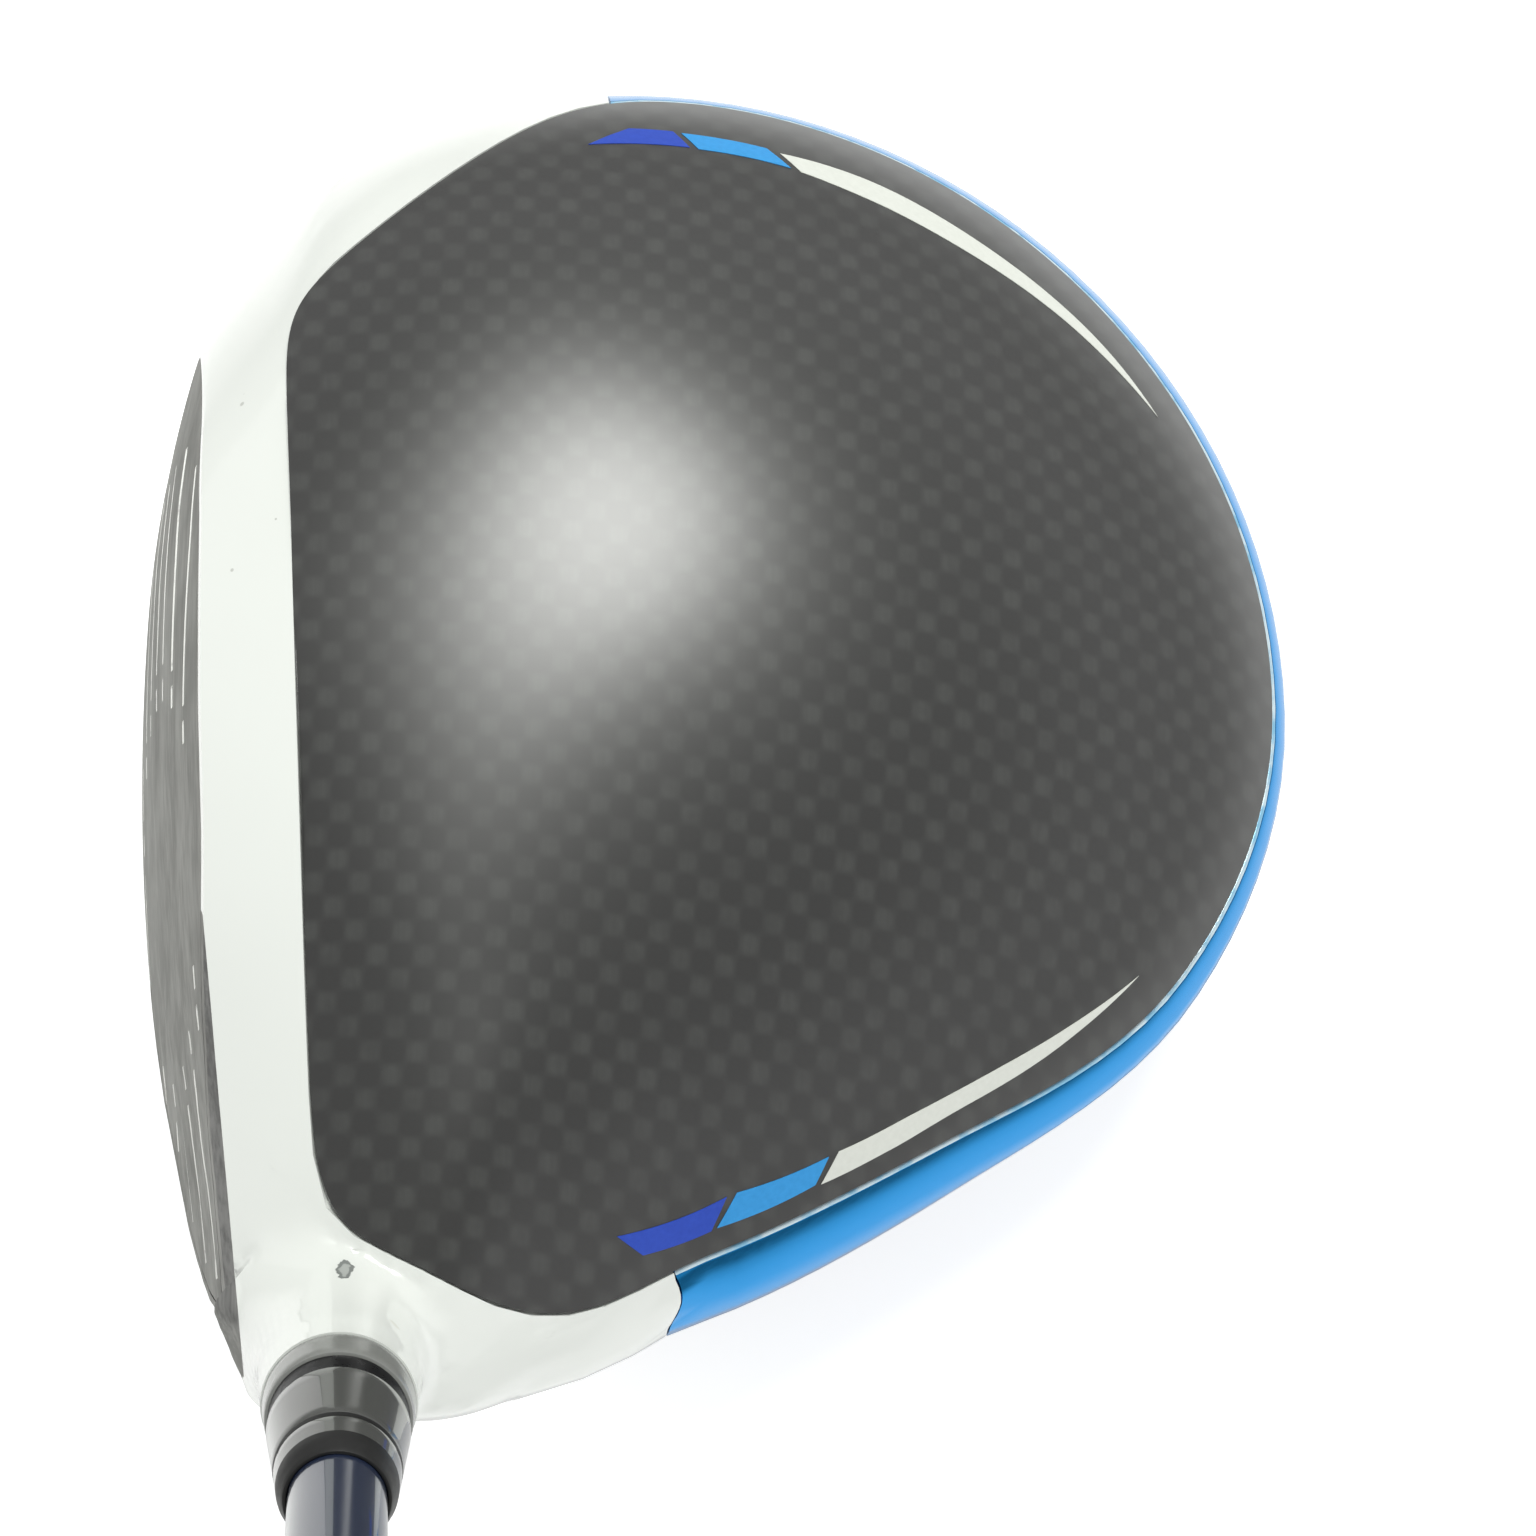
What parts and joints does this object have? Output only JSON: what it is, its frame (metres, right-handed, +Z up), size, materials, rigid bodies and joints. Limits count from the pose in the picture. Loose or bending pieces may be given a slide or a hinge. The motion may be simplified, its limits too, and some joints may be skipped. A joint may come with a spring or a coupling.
{
  "type": "golf driver",
  "caption": "Golf driver with a rounded multi-material head, an adjustable screwed hosel sleeve, a removable sole weight, a tapered shaft and a rubber grip.",
  "frame": {"origin": "middle of the flat rest pad under the sole, on the ground", "axes": "+Z up at address, -X the way the face looks, +Y towards the toe, so the shaft leans to -Y"},
  "size_m": [0.1153, 0.7458, 0.9818],
  "materials": {
    "white_paint": "gloss",
    "milled_face": "milled",
    "crown_carbon": "satin lacquer over a dark weave",
    "sole_carbon": "gloss lacquer over a dark weave",
    "blue_anodise": "anodised, glossy",
    "keel_metal": "satin black anodised",
    "slot_rubber": "matte",
    "tube_steel": "satin",
    "screw_steel": "satin",
    "washer_steel": "satin",
    "weight_steel": "satin",
    "bush_brass": "plain",
    "sleeve_black": "black anodised",
    "collar_black": "gloss",
    "ferrule_black": "gloss",
    "band_dark": "dark satin",
    "shaft_navy": "gloss lacquer",
    "tape_paper": "matte",
    "grip_rubber": "matte, textured"
  },
  "bodies": {
    "head": {"front_body": "white_paint", "face_plate": "milled_face", "crown_panel": "crown_carbon", "sole_panel": "sole_carbon", "rear_ring": "blue_anodise", "sole_keel": "keel_metal", "slot_insert": "slot_rubber", "hosel_tube": "tube_steel", "weight_bush": "bush_brass"},
    "shaft_assembly": {"loft_sleeve": "sleeve_black", "sleeve_collar": "collar_black", "ferrule": "ferrule_black", "ferrule_band": "band_dark", "shaft": "shaft_navy", "grip_tape": "tape_paper", "grip": "grip_rubber", "grip_cap": "grip_rubber"},
    "washer": {"screw_washer": "washer_steel"},
    "hosel_screw": {"hosel_screw": "screw_steel"},
    "weight": {"rear_weight": "weight_steel"},
    "weight_screw": {"weight_screw": "screw_steel"}
  },
  "joints": [
    {"name": "shaft_lift_out", "type": "slide", "parent": "head", "child": "shaft_assembly", "axis": [0, -0.5446, 0.8387], "range_m": [0, 0.06]},
    {"name": "hosel_screw_travel", "type": "slide", "parent": "head", "child": "washer", "axis": [0, 0.5446, -0.8387], "range_m": [0, 0.01]},
    {"name": "hosel_screw_turn", "type": "hinge", "parent": "washer", "child": "hosel_screw", "pos_m": [-0.036, -0.05374, 0.02516], "axis": [0, 0.5446, -0.8387], "range_deg": [0, 4502]},
    {"name": "rear_weight_travel", "type": "slide", "parent": "head", "child": "weight", "axis": [0.2419, 0, -0.9703], "range_m": [0, 0.008]},
    {"name": "weight_screw_turn", "type": "hinge", "parent": "weight", "child": "weight_screw", "pos_m": [0.03279, 0, 0.00984], "axis": [0.2419, 0, -0.9703], "range_deg": [0, 3602]}
  ],
  "couplings": [
    {"joint": "hosel_screw_turn", "follows": "hosel_screw_travel", "rad_per_m": 7854},
    {"joint": "weight_screw_turn", "follows": "rear_weight_travel", "rad_per_m": 7854}
  ]
}
